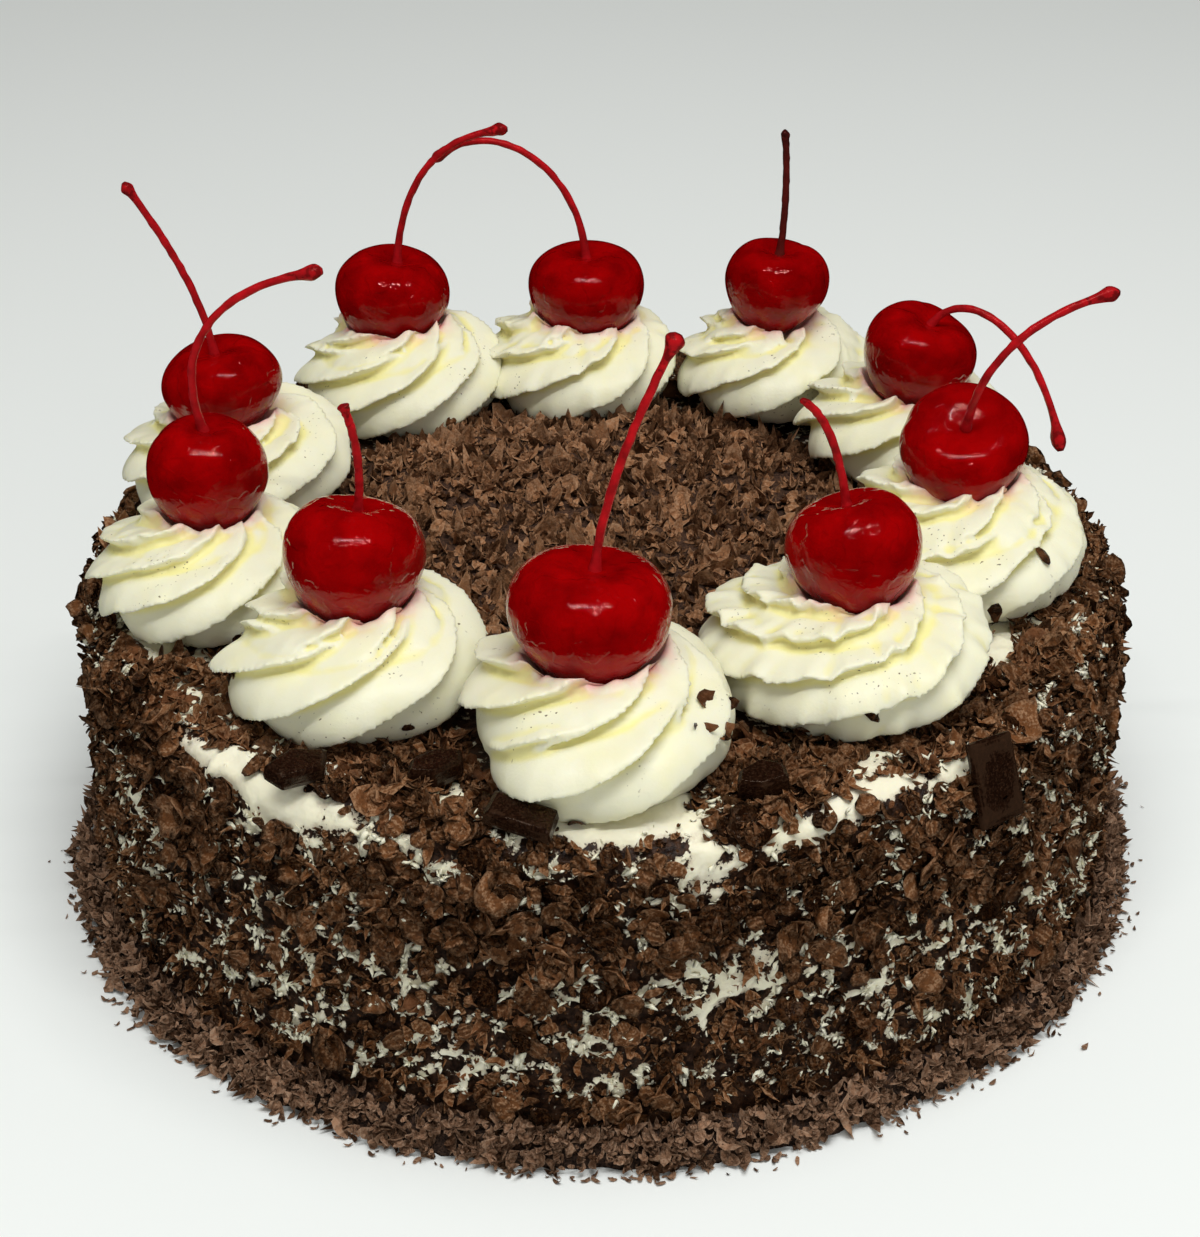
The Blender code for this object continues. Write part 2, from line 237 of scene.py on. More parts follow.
def masked_coat_finish():
    """Ivory cream; where shavings were pressed on, cocoa dust, and dark brown crumbs with painted shade in
    the gaps between the flakes.
    """
    made, shader, n = node_tools("masked_coat")
    shader.inputs["Roughness"].default_value = 0.55
    shader.inputs["Subsurface Weight"].default_value = 0.12
    shader.inputs["Subsurface Radius"].default_value = (1.0, 0.75, 0.4)
    shader.inputs["Subsurface Scale"].default_value = 1.5 * MM
    ragged = n.spread(n.grain(1.5 * MM, 3.0, 0.65), 0.32, 0.68, 0.42, 0.98)
    crumb_and_shade_mask = n.spread(n.sum_of(n.reading("cover"), ragged, "SUBTRACT"), -0.02, 0.06)
    dust = n.spread(n.sum_of(n.reading("cover"), n.grain(0.8 * MM, 3.0, 0.7), "SUBTRACT"), -0.15, 0.45)
    cream = n.blend(n.spread(n.grain(9 * MM), 0.0, 1.0, 0.0, 0.30), MASK_CREAM, BUTTER_TONE_AND_FOLD_SHADE)
    cream = n.blend(n.sum_of(dust, 0.55, "MULTIPLY"), cream, DUSTED_CREAM)
    # Crumbs, and the painted shade in the gaps between the flakes
    crumbs_and_shade = n.blend(n.spread(n.grain(1.6 * MM, 4.0, 0.7), 0.40, 0.75), CRUMB_AND_SHADE_DEEP, CRUMB_AND_SHADE_PALE)
    n.feed("Base Color", n.blend(crumb_and_shade_mask, cream, crumbs_and_shade))
    n.relief(n.sum_of(n.sum_of(crumb_and_shade_mask, ragged, "MULTIPLY"), n.grain(3 * MM), "ADD"), 0.7 * MM, 0.6)
    return made


def build_coat():
    """Rings from under the cake up its side and over the rim, each point moved along its normal:
    crumbly where shavings cover it, smooth with knife marks and a ridge at each seam where bare."""
    angle = np.linspace(0, 2 * np.pi, COAT_COLUMNS, endpoint=False)
    run = np.concatenate([np.linspace(0, COAT_RELIEF_END, COAT_ROWS), COAT_INNER_RINGS])
    angle, run = np.meshgrid(angle, run)
    point, normal = coat_surface(angle, run)
    amount = cover(angle, run)
    crumbly = lattice_noise(point, 1.9 * MM, 7) + 0.6 * lattice_noise(point, 0.9 * MM, 8)
    knife = lattice_noise(point * [1, 1, 2.2], 13 * MM, 9)
    line = np.exp(-(seam(point) / SEAM_WIDTH) ** 2)
    depth = amount * (0.35 * crumbly - 0.45) + (1 - amount) * (0.45 * knife + 0.55 * line)
    point = point + normal * depth[..., None] * MM
    point[0, :, 2] = 0.0
    under = point[0] * [0.97, 0.97, 0.0]
    grid = np.concatenate([under[None], point])
    made = skin("cream_coat", grid)
    mark(made, "cover", np.concatenate([amount[0], amount.ravel(), [1.0, 1.0]]))
    return made


coat_finish = masked_coat_finish()
coat = build_coat()
coat.data.materials.append(coat_finish)
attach(coat, "root")
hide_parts("cake_body")

# ---------------------------------------------------------------------------------------
# Shavings on the side: flakes scraped from a chocolate block, 1 to 5 mm, curled and brittle,
# pressed by hand into the soft cream so that they lie at all angles, with crumbs between them.
SIDE_FLAKES = 10000
SIDE_SHELLS = 2400
SIDE_CRUMBS = 8500
# How many places are tried for each flake, and how far up and over the rim they go (mm of run)
SIDE_TRIES = 5
SIDE_REACH = 90
# The part of the swirl's radius inside which nothing is strewn
UNDER_SWIRL = 0.9
SWIRL_NUMBERS = range(1, 11)
TABLE_GAP = 0.05 * MM
CHOCOLATE_DEEP = (0.011, 0.0032, 0.0010)
CHOCOLATE_PALE = (0.190, 0.074, 0.026)
# Dust colours, also used for the painted highlight on the flakes' rims
CHOCOLATE_DUST_AND_RIM_LIGHT = (0.43, 0.255, 0.140)
SHELL_DEEP = (0.010, 0.0034, 0.0014)
SHELL_PALE = (0.170, 0.064, 0.021)
SHELL_DUST_AND_RIM_LIGHT = (0.42, 0.250, 0.14)
COCOA = (0.200, 0.078, 0.032)
BROWN_GLINT = (1.0, 0.74, 0.55, 1.0)


def flake_shape(across, along):
    """A closed leaf: a square grid drawn in to a disc by x = u sqrt(1 - v^2/2), y = v sqrt(1 - u^2/2),
    once for its upper face, and its inner points again for its lower face."""
    u, v = np.meshgrid(np.linspace(-1, 1, across), np.linspace(-1, 1, along), indexing="ij")
    flat = np.stack([u * np.sqrt(1 - v * v / 2), v * np.sqrt(1 - u * u / 2)], axis=-1).reshape(-1, 2)
    upper = np.arange(across * along).reshape(across, along)
    lower = upper.copy()
    inside = np.zeros((across, along), dtype=bool)
    inside[1:-1, 1:-1] = True
    lower[inside] = across * along + np.arange(inside.sum())
    faces = []
    for layer, turned in ((upper, False), (lower, True)):
        quads = np.stack([layer[:-1, :-1], layer[1:, :-1], layer[1:, 1:], layer[:-1, 1:]], axis=-1)
        quads = quads.reshape(-1, 4)
        faces.append(quads[:, ::-1] if turned else quads)
    flat = np.vstack([flat, flat[upper[inside]]])
    rise = np.where(inside.ravel(), 1.0, 0.0)
    rise = np.concatenate([rise, np.full(inside.sum(), -1.0)])
    return flat, rise, np.vstack(faces)


def strew(name, spots, normals, lengths, chance, across=3, along=3, slim=0.7, thick=0.16,
          curl=0.45, lean=0.6, cup=0.0, ragged=0.25, heading=None, middle_tint=0.42):
    """Many flakes in one mesh. Each leaf is jittered, bent and twisted by z = bend x^2 + twist x y,
    given its thickness, scaled to its length, tipped from its normal, lifted off the table and moved."""
    flat, rise, faces = flake_shape(across, along)
    count, points = len(spots), len(flat)
    x = flat[None, :, 0] * chance.uniform(1 - ragged, 1 + 0.8 * ragged, (count, points))
    y = flat[None, :, 1] * chance.uniform(1 - ragged, 1 + 0.8 * ragged, (count, points))
    y = y * (slim * chance.uniform(0.6, 1.25, (count, 1)))
    bend = curl * chance.normal(1.0, 0.6, (count, 1))
    twist = curl * chance.normal(0.0, 0.7, (count, 1))
    z = bend * (x * x + cup * y * y - 0.4) + twist * x * y + 0.06 * chance.normal(size=(count, points))
    z = z + rise * thick * chance.uniform(0.6, 1.5, (count, 1))
    local = np.stack([x, y, z], axis=-1) * (lengths[:, None, None] / 2)
    up = normals + lean * chance.normal(size=(count, 3))
    up /= np.linalg.norm(up, axis=1, keepdims=True)
    side = np.cross(up, chance.normal(size=(count, 3)) if heading is None else np.cross(up, heading))
    side /= np.linalg.norm(side, axis=1, keepdims=True)
    turn = np.stack([side, np.cross(up, side), up], axis=1)
    verts = spots[:, None, :] + local @ turn
    verts[..., 2] += np.maximum(TABLE_GAP - verts[..., 2].min(axis=1), 0)[:, None]
    every = (faces[None] + (np.arange(count) * points)[:, None, None]).reshape(-1, 4)
    made = new_piece(name, verts.reshape(-1, 3), every.tolist())
    mark(made, "tint", np.repeat(np.clip(chance.normal(middle_tint, 0.30, count), 0, 1), points))
    # Distance from the leaf's middle, by which the finish paints the rim paler as a painted highlight
    mark(made, "rim", np.tile(np.hypot(flat[:, 0], flat[:, 1]), count))
    mark(made, "stroke", x * chance.uniform(6, 15, (count, 1)) + chance.uniform(0, 6, (count, 1)))
    return made


def shaved_chocolate_finish(name, deep, pale, dust, sheen_rough, cocoa=0.0, gloss=0.12, pitted=0.25):
    """Chocolate that differs flake by flake, grooved by the scraper, dusty and paler where it is pitted,
    and paler at its thin edges, a painted highlight on the rims; cocoa lies on it in patches."""
    made, shader, n = node_tools(name)
    shader.inputs["Specular IOR Level"].default_value = gloss
    shader.inputs["Specular Tint"].default_value = BROWN_GLINT
    n.feed("Roughness", n.spread(n.reading("tint"), 0.05, 0.6, sheen_rough - 0.22, sheen_rough + 0.15))
    tone = n.sum_of(n.reading("tint"), n.spread(n.grain(0.8 * MM, 3.0, 0.7), 0.3, 0.7, -0.35, 0.35))
    colour = n.blend(n.spread(tone, 0.0, 1.0), deep, pale)
    if cocoa:
        powdered = n.spread(n.grain(12 * MM, 3.0, 0.6), 0.52, 0.66, 0.0, cocoa)
        colour = n.blend(powdered, colour, COCOA)
    scrape = n.sum_of(n.reading("stroke"), 0.0, "SINE")
    uneven = n.spread(n.grain(0.6 * MM), 0.3, 0.7, -0.35, 0.1)
    # Paler at a flake's thin rim: a painted highlight where light catches the edge
    edge = n.spread(n.sum_of(n.reading("rim"), uneven), 0.72, 1.0)
    dust_and_lit_rims = n.sum_of(n.grain(0.45 * MM, 2.0), n.spread(scrape, -1.0, 1.0, 0.75, 1.12), "MULTIPLY")
    dust_and_lit_rims = n.sum_of(n.spread(dust_and_lit_rims, 0.46, 0.66), edge, "MAXIMUM")
    dust_and_lit_rims = n.sum_of(dust_and_lit_rims, n.spread(n.reading("tint"), 0.0, 0.7, 0.05, 0.6), "MULTIPLY")
    n.feed("Base Color", n.blend(dust_and_lit_rims, colour, dust))
    rough = n.sum_of(n.grain(0.5 * MM, 3.0, 0.7), n.grain(1.3 * MM, 2.0))
    n.relief(n.sum_of(rough, n.sum_of(scrape, 0.30, "MULTIPLY")), pitted * MM, 0.9)
    return made


def solid_box(node):
    """Middle and size of a solid's box."""
    low, high = (np.array(corner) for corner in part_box(node))
    return (low + high) / 2, high - low


def swirl_disc(number):
    """Middle and mean radius of a swirl seen from above."""
    middle, size = solid_box(f"rosette_{number:02d}")
    return middle[:2], size[:2].mean() / 2


def side_spots(lengths, chance, thinning):
    """Random places on the coat, kept where a draw falls below cover^thinning, fewer over the rim, where
    a ring is shorter, and at the foot, and none under a swirl."""
    count = len(lengths)
    lengths = np.tile(lengths, SIDE_TRIES)
    angle = chance.uniform(-np.pi, np.pi, len(lengths))
    run = chance.uniform(0.5, SIDE_REACH, len(lengths)) * MM
    point, normal = coat_surface(angle, run)
    keep = chance.random(len(lengths)) < cover(angle, run, lengths / 2) ** thinning
    keep &= chance.random(len(lengths)) < np.linalg.norm(point[:, :2], axis=1) / COAT_RIM_RADIUS
    # Few flakes at the foot, so the dark coat shows there as the painted shadow of the groove above the
    # skirt
    keep &= (run > 10 * MM) | (chance.random(len(lengths)) < 0.35)
    for number in SWIRL_NUMBERS:
        middle, radius = swirl_disc(number)
        inside = np.linalg.norm(point[:, :2] - middle, axis=1) < radius * UNDER_SWIRL
        keep &= ~(inside & (run > SIDE_LENGTH + 0.7 * COAT_ARC))
    chosen = np.flatnonzero(keep)[:count]
    return point[chosen], normal[chosen], run[chosen], lengths[chosen]


chance = np.random.default_rng(21)
side_finish = shaved_chocolate_finish("side_shavings", CHOCOLATE_DEEP, CHOCOLATE_PALE, CHOCOLATE_DUST_AND_RIM_LIGHT,
                                      0.50, cocoa=0.75)
shell_finish = shaved_chocolate_finish("shell_shavings", SHELL_DEEP, SHELL_PALE, SHELL_DUST_AND_RIM_LIGHT,
                                       0.36, gloss=0.26)

lengths = np.clip(chance.lognormal(0.98, 0.34, SIDE_FLAKES), 1.3, 5.0) * MM
spots, normals, _, lengths = side_spots(lengths, chance, 1.4)
spots = spots + normals * (chance.uniform(-0.3, 1.1, len(spots)) * MM)[:, None]
side_flakes = strew("side_shavings", spots, normals, lengths, chance, slim=0.5, thick=0.12,
                    curl=0.85, lean=0.42)
side_flakes.data.materials.append(side_finish)

# Shells: broad cupped scrapings, most of them high on the side
lengths = np.clip(chance.lognormal(1.50, 0.32, SIDE_SHELLS * 2), 2.6, 9.0) * MM
spots, normals, run, lengths = side_spots(lengths, chance, 1.0)
wanted = chance.random(len(spots)) < 0.20 + 0.8 * np.exp(-((run / MM - 56) / 17) ** 2)
spots, normals, lengths = (rows[wanted][:SIDE_SHELLS] for rows in (spots, normals, lengths))
spots = spots + normals * (chance.uniform(0.4, 1.9, len(spots)) * MM)[:, None]
side_shells = strew("side_shells", spots, normals, lengths, chance, across=5, along=5, slim=0.85,
                    thick=0.07, curl=0.42, lean=0.36, cup=0.8, ragged=0.10, middle_tint=0.36)
side_shells.data.shade_smooth()
side_shells.data.materials.append(shell_finish)

# Crumbs: what broke off the flakes, filling the gaps between them
lengths = chance.uniform(0.5, 1.6, SIDE_CRUMBS) * MM
spots, normals, _, lengths = side_spots(lengths, chance, 0.8)
spots = spots + normals * (chance.uniform(0.0, 0.9, len(spots)) * MM)[:, None]
side_crumbs = strew("side_crumbs", spots, normals, lengths, chance, slim=0.8, thick=0.3, lean=1.0)
side_crumbs.data.materials.append(side_finish)
for piece in (side_flakes, side_shells, side_crumbs):
    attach(piece, "root")

# ---------------------------------------------------------------------------------------
# Cream strands: whipped cream of the coat that pushed up between the flakes when they were
# pressed in and was dragged over them, in thin torn threads that run along the seams.
CREAM_STRANDS = 8400
STRAND_TRIES = 18
# Where strands lie: run up the side (mm), distance from a seam (noise units), cover that they favour
STRAND_BAND = (11, 76)
SEAM_EDGE = 0.10
HALF_COVERED = 0.5
SLOPE_STEP = 0.1 * MM

angle = chance.uniform(-np.pi, np.pi, CREAM_STRANDS * STRAND_TRIES)
run = chance.uniform(*STRAND_BAND, len(angle)) * MM
spots, normals = coat_surface(angle, run)
level, amount = seam(spots), cover(angle, run)
likely = np.exp(-((amount - HALF_COVERED) / 0.32) ** 2)
wanted = (np.abs(level) < SEAM_EDGE) & (chance.random(len(angle)) < likely)
spots, normals, level = (rows[wanted][:CREAM_STRANDS] for rows in (spots, normals, level))
# A seam runs across both its slope and the normal
slope = np.stack([seam(spots + SLOPE_STEP * axis) - level for axis in np.eye(3)], axis=-1)
heading = np.cross(normals, slope)
heading = heading / np.linalg.norm(heading, axis=1, keepdims=True) + 0.55 * chance.normal(size=slope.shape)
spots = spots + normals * (chance.uniform(0.1, 1.2, len(spots)) * MM)[:, None]
lengths = np.clip(chance.lognormal(0.20, 0.45, len(spots)), 0.5, 3.0) * MM
strands = strew("cream_strands", spots, normals, lengths, chance, slim=0.5, thick=0.30,
                curl=0.35, lean=0.45, heading=heading)
strands.data.shade_smooth()
mark(strands, "cover", np.zeros(len(strands.data.vertices)))
strands.data.materials.append(coat_finish)
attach(strands, "root")

# ---------------------------------------------------------------------------------------
# Top shavings: flakes dropped on the flat of the top, lying loose between the swirls, and
# heaped by hand in the notches where two swirls meet near the rim.
TOP_FLAKES = 1700
TOP_TRIES = 3
# Where on the top flakes are dropped (mm from the axis)
TOP_INNER, TOP_OUTER = 56, 101
TOP_EDGE = 102 * MM
NOTCH_FLAKES = 100
NOTCH_RADIUS = 96 * MM
NOTCH_SPREAD = 5 * MM
HEAP_WIDTH = 6 * MM
HEAP_HEIGHT = 3.6

out = np.sqrt(chance.uniform(TOP_INNER, TOP_OUTER, TOP_FLAKES * TOP_TRIES) / TOP_OUTER) * TOP_OUTER * MM
angle = chance.uniform(-np.pi, np.pi, len(out))
flat = np.stack([out * np.cos(angle), out * np.sin(angle)], axis=-1)
middles = np.array([swirl_disc(number)[0] for number in SWIRL_NUMBERS])
between = (middles + np.roll(middles, -1, axis=0)) / 2
notch = between / np.linalg.norm(between, axis=1, keepdims=True) * NOTCH_RADIUS
notch = np.repeat(notch, NOTCH_FLAKES, axis=0)
heap = notch + chance.normal(0, NOTCH_SPREAD, notch.shape)
# Height in a heap, as a share of its own: a bell curve of the distance from the notch
heaped = np.exp(-(np.linalg.norm(heap - notch, axis=1) / HEAP_WIDTH) ** 2)
raised = np.concatenate([np.zeros(len(flat)), heaped])
flat = np.concatenate([flat, heap])
from_axis = np.linalg.norm(flat, axis=1)
run = SIDE_LENGTH + COAT_ARC + COAT_RIM_RADIUS - COAT_ROUNDING - from_axis
keep = from_axis < TOP_EDGE
for number in SWIRL_NUMBERS:
    middle, radius = swirl_disc(number)
    keep &= np.linalg.norm(flat - middle, axis=1) > radius * UNDER_SWIRL
bare = 1 - cover(np.arctan2(flat[:, 1], flat[:, 0]), np.clip(run, 0, None))
keep &= (chance.random(len(flat)) > bare * 1.15) | (raised > 0.5)
flat, raised = flat[keep], raised[keep]
height = COAT_TOP + (0.3 + HEAP_HEIGHT * raised * chance.random(len(flat))) * MM
spots = np.concatenate([flat, height[:, None]], axis=1)
lengths = np.clip(chance.lognormal(1.20, 0.42, len(spots)), 1.2, 7.5) * MM
top_flakes = strew("top_shavings", spots, np.tile([0.0, 0.0, 1.0], (len(spots), 1)), lengths, chance,
                   across=4, slim=0.7, thick=0.10, curl=0.7, lean=0.45, cup=0.4, ragged=0.15)
top_flakes.data.materials.append(side_finish)
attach(top_flakes, "root")

# ---------------------------------------------------------------------------------------
# Skirt: the shavings that fell while the side was pressed, swept up against the foot of the
# cake in a loose bank, paler and duller than those on the side, with a ragged outer edge.
SKIRT_REACH = 7.2 * MM
SKIRT_HEIGHT = 9.0 * MM
SKIRT_FLAKES = 5200
STRAYS = 420
SKIRT_DEEP = (0.040, 0.017, 0.008)
SKIRT_PALE = (0.350, 0.196, 0.116)
SKIRT_DUST_AND_RIM_LIGHT = (0.42, 0.29, 0.20)
BANK_GAP_SHADE = (0.014, 0.0055, 0.0028)
BANK_PALE = (0.10, 0.050, 0.028)
BANK_COLUMNS = 520
BANK_ROWS = 10
BANK_SUNK = 1.2 * MM
# How steeply the bank rises to the side: height goes with sin^SLUMP of the section's angle
SLUMP = 1.4


def skirt_reach(angle):
    """How far the bank reaches out: a little less at the front, and uneven all round."""
    ring = np.stack([np.cos(angle), np.sin(angle), 0 * angle], axis=-1) * COAT_FOOT_RADIUS
    wander = 1 + 0.16 * lattice_noise(ring, 12 * MM, 31) + 0.10 * lattice_noise(ring, 4 * MM, 32)
    return SKIRT_REACH * wander * (1 - 0.20 * np.clip(-np.sin(angle), 0, 1) ** 3)


def build_bank():
    """A low ridge round the cake under the loose flakes: each section is a quarter of an oval against
    the side, out = reach cos(section), up = height sin(section)^SLUMP, roughened by noise."""
    angle = np.linspace(0, 2 * np.pi, BANK_COLUMNS, endpoint=False)
    section = np.linspace(0, np.pi / 2, BANK_ROWS)
    angle, section = np.meshgrid(angle, section)
    out = skirt_reach(angle) * 0.86 * np.cos(section)
    up = SKIRT_HEIGHT * 0.72 * np.sin(section) ** SLUMP
    ring, normal = coat_surface(angle, 0 * angle)
    point = ring + normal * (out - BANK_SUNK)[..., None]
    point[..., 2] = up
    rough = lattice_noise(point, 1.6 * MM, 33) + 0.6 * lattice_noise(point, 0.8 * MM, 34)
    point[..., 2] = np.clip(point[..., 2] + rough * 0.35 * MM * np.sin(section), 0, None)
    point[..., :2] *= 1 + 0.004 * rough[..., None] * np.cos(section)[..., None]
    inner = ring[0] * 0.97
    foot = inner.copy()
    inner[:, 2] = point[-1, :, 2]
    return skin("skirt_bank", np.concatenate([foot[None], point, inner[None]]))


def brown_bank_finish(name, deep, pale):
    """Packed crumbs: paler grains, and painted shade in the gaps between them, which are the hollows of the
    bump.
    """
    made, shader, n = node_tools(name)
    shader.inputs["Roughness"].default_value = 0.75
    tone = n.sum_of(n.grain(1.1 * MM, 4.0, 0.7), n.grain(0.4 * MM, 2.0), "MULTIPLY")
    # Painted shade: the lower the bump, the darker the colour
    n.feed("Base Color", n.blend(n.spread(tone, 0.15, 0.42), deep, pale))
    n.relief(tone, 0.9 * MM, 1.0)
    return made


bank = build_bank()
bank.data.materials.append(brown_bank_finish("skirt_bank", BANK_GAP_SHADE, BANK_PALE))
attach(bank, "root")
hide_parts("shavings_skirt")

# Loose flakes over the bank, leaning out from the side low down and lying flat on its top
angle = chance.uniform(-np.pi, np.pi, SKIRT_FLAKES)
section = np.arccos(np.clip(chance.random(SKIRT_FLAKES) ** 0.6, 0, 1))
far = skirt_reach(angle) * chance.uniform(0.88, 1.06, SKIRT_FLAKES) * np.cos(section)
ring, normals = coat_surface(angle, 0 * angle)
spots = ring + normals * far[:, None]
rise = SKIRT_HEIGHT * 0.85 * np.sin(section) ** SLUMP
spots[:, 2] = 0.4 * MM + rise * chance.uniform(0.8, 1.1, SKIRT_FLAKES)
normals = normals * np.cos(section)[:, None] + np.array([0, 0, 1]) * (0.5 + np.sin(section))[:, None]
lengths = np.clip(chance.lognormal(0.75, 0.40, SKIRT_FLAKES), 0.9, 5.2) * MM
skirt_flakes = strew("skirt_shavings", spots, normals, lengths, chance, across=4, slim=0.55, thick=0.12,
                     curl=1.15, lean=0.5, ragged=0.15)
skirt_finish = shaved_chocolate_finish("skirt_shavings", SKIRT_DEEP, SKIRT_PALE, SKIRT_DUST_AND_RIM_LIGHT, 0.65)

# Strays: flakes that rolled a little way off over the table
angle = chance.uniform(-np.pi, np.pi, STRAYS)
far = skirt_reach(angle) * (1.0 + np.minimum(chance.exponential(0.16, STRAYS), 0.9))
ring, normals = coat_surface(angle, 0 * angle)
spots = ring + normals * far[:, None]
spots[:, 2] = 0.35 * MM
lengths = chance.uniform(0.7, 2.4, STRAYS) * MM
strays = strew("stray_shavings", spots, normals * 0 + [0, 0, 1], lengths, chance, slim=0.5, lean=0.15)
for piece in (skirt_flakes, strays):
    piece.data.materials.append(skirt_finish)
    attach(piece, "root")

# ---------------------------------------------------------------------------------------
# Bed: finer curls of the same chocolate, scattered over the coat inside the ring of swirls
# until they made a shallow heap, paler than the shavings on the side, and matt.
BED_CENTRE = np.array([-2.0, 4.0]) * MM
BED_RADIUS = 60.0 * MM
BED_TOP = 74.2 * MM
BED_EDGE = 69.5 * MM
BED_FLAKES = 4800
BED_DEEP = (0.034, 0.0125, 0.0048)
BED_PALE = (0.340, 0.160, 0.074)
BED_DUST_AND_RIM_LIGHT = (0.42, 0.26, 0.155)
CORE_GAP_SHADE = (0.016, 0.0055, 0.0024)
CORE_PALE = (0.12, 0.055, 0.027)
CORE_COLUMNS = 240
CORE_ROWS = 72
CORE_HOLE = 0.8 * MM
CORE_FOOT = COAT_TOP - 1 * MM


def bed_height(x, y):
    """A shallow mound: edge + (top - edge)(1 - share^3) of the radius, and hollows from noise."""
    share = np.clip(np.hypot(x, y) / BED_RADIUS, 0, 1)
    flat = np.stack([x, y, 0 * x], axis=-1)
    height = BED_EDGE + (BED_TOP - BED_EDGE) * (1 - share ** 3)
    return height + (1.0 * lattice_noise(flat, 14 * MM, 41) + 0.5 * lattice_noise(flat, 5 * MM, 42)) * MM


def build_bed():
    """Rings from the edge in to the middle, at the mound's height plus crumb-sized relief, and one
    ring below the edge, inside the coat."""
    angle = np.linspace(0, 2 * np.pi, CORE_COLUMNS, endpoint=False)
    out = np.linspace(BED_RADIUS, CORE_HOLE, CORE_ROWS)
    angle, out = np.meshgrid(angle, out)
    x, y = out * np.cos(angle), out * np.sin(angle)
    flat = np.stack([x, y, 0 * x], axis=-1)
    crumbly = 0.5 * lattice_noise(flat, 1.9 * MM, 43) + 0.3 * lattice_noise(flat, 0.9 * MM, 44)
    point = np.stack([x + BED_CENTRE[0], y + BED_CENTRE[1], bed_height(x, y) + crumbly * MM], axis=-1)
    foot = point[0] * [1, 1, 0] + [0, 0, CORE_FOOT]
    return skin("bed_core", np.concatenate([foot[None], point]))


bed = build_bed()
bed.data.materials.append(brown_bank_finish("bed_core", CORE_GAP_SHADE, CORE_PALE))
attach(bed, "root")
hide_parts("shavings_bed")

angle = chance.uniform(-np.pi, np.pi, BED_FLAKES)
out = BED_RADIUS * np.sqrt(chance.random(BED_FLAKES)) * 1.04
x, y = out * np.cos(angle), out * np.sin(angle)
spots = np.stack([x + BED_CENTRE[0], y + BED_CENTRE[1], bed_height(x, y)], axis=-1)
spots[:, 2] += chance.uniform(-0.2, 1.3, BED_FLAKES) * MM
lengths = np.clip(chance.lognormal(0.98, 0.45, BED_FLAKES), 1.2, 8.0) * MM
bed_flakes = strew("bed_shavings", spots, np.tile([0.0, 0.0, 1.0], (BED_FLAKES, 1)), lengths, chance,
                   across=5, slim=0.68, thick=0.09, curl=1.05, lean=0.34, ragged=0.09, cup=0.25)
bed_finish = shaved_chocolate_finish("bed_shavings", BED_DEEP, BED_PALE, BED_DUST_AND_RIM_LIGHT, 0.6)
bed_flakes.data.materials.append(bed_finish)
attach(bed_flakes, "root")

# ---------------------------------------------------------------------------------------
# Swirls: each is one rope of whipped cream from a large open star nozzle, wound
# counter-clockwise twice and drawn up to a peak, which the cherry has pressed down. The
# rope twists as it winds, so its lobes climb and lap over each other like shingles.
SWIRL_FOOT = 68.2 * MM
ROPE_RADIUS = 10.6 * MM
ROPE_FLATTENING = 0.86
LOBE_DEPTH = 0.19
STEEP_SHARE = 0.20
LOBE_OVERHANG = 0.29
ROPE_SECTIONS_PER_TURN = 150
ROPE_AROUND = 132
# How much of its solid's width a swirl takes before its own spread
SOLID_SHARE = 0.99
SKIN_STEP = 0.58 * MM
SEAT_CLEARANCE = 0.10 * MM
LIP_HEIGHT = 1.4 * MM
# Where the lip stands and how wide it is, as shares of the cherry's radius
LIP_BAND = (1.07, 0.07)
# How deep a hollow is for the full painted shade of a fold
FOLD_SHADE_DEPTH = 0.22 * MM
JUICE_REACH = 1.6 * MM
IVORY = (0.81, 0.795, 0.60)
JUICE_PINK = (0.86, 0.36, 0.36)
VANILLA_SPECK = (0.18, 0.145, 0.09)
# Each swirl, clockwise from the front: start of the rope (degrees), turns, lobes, twist per turn,
# ruffle of its edges, cherry's lean to +X and +Y (degrees), spread past the solid, shift (mm), climb (mm)
SWIRLS = (
    (205, 1.90, 6, 6.2, 0.25, (5, 0), 1.08, (-1.6, -2.2), 10.2),
    (150, 1.95, 6, 6.8, 0.20, (8, 12), 1.03, (0.4, -2.8), 8.0),
    (80, 1.90, 7, 7.4, 0.30, (4, 0), 1.05, (1.2, -1.8), 7.2),
    (10, 1.95, 7, 7.0, 0.35, (-9, 0), 1.14, (3.4, 0.0), 8.8),
    (120, 1.90, 7, 7.6, 0.20, (9, 0), 1.03, (3.0, -0.6), 9.0),
    (60, 1.85, 6, 6.6, 0.60, (0, 0), 1.05, (-1.0, 0.0), 8.2),
    (300, 1.95, 6, 5.8, 0.40, (5, 0), 1.07, (-0.7, 0.0), 10.0),
    (240, 1.90, 6, 7.0, 0.30, (19, -6), 1.04, (-1.0, 0.0), 10.5),
    (170, 1.95, 7, 6.6, 0.60, (-3, -34), 1.03, (0.4, -0.8), 9.6),
    (95, 2.00, 7, 5.2, 1.10, (-12, 12), 1.06, (0.0, -3.0), 7.8),
)
CHERRY_LEANS = tuple(row[5] for row in SWIRLS)
# Height of each cherry as a share of its width
CHERRY_HEIGHTS = (0.85, 0.99, 1.13, 0.91, 0.93, 0.90, 1.01, 0.94, 0.88, 1.00)


def shingle(phase):
    """A leaning wave: a narrow crest, a broad hollow trough over most of the phase, then a steep climb."""
    share = (phase / (2 * np.pi)) % 1.0
    eased = np.clip(share / (1 - STEEP_SHARE), 0, 1)
    falling = 0.45 * np.cos(np.pi * eased) + 0.55 * (2 * (1 - eased) ** 2.2 - 1)
    climbing = -np.cos(np.pi * np.clip((share - 1 + STEEP_SHARE) / STEEP_SHARE, 0, 1))
    return np.where(share < 1 - STEEP_SHARE, falling, climbing)


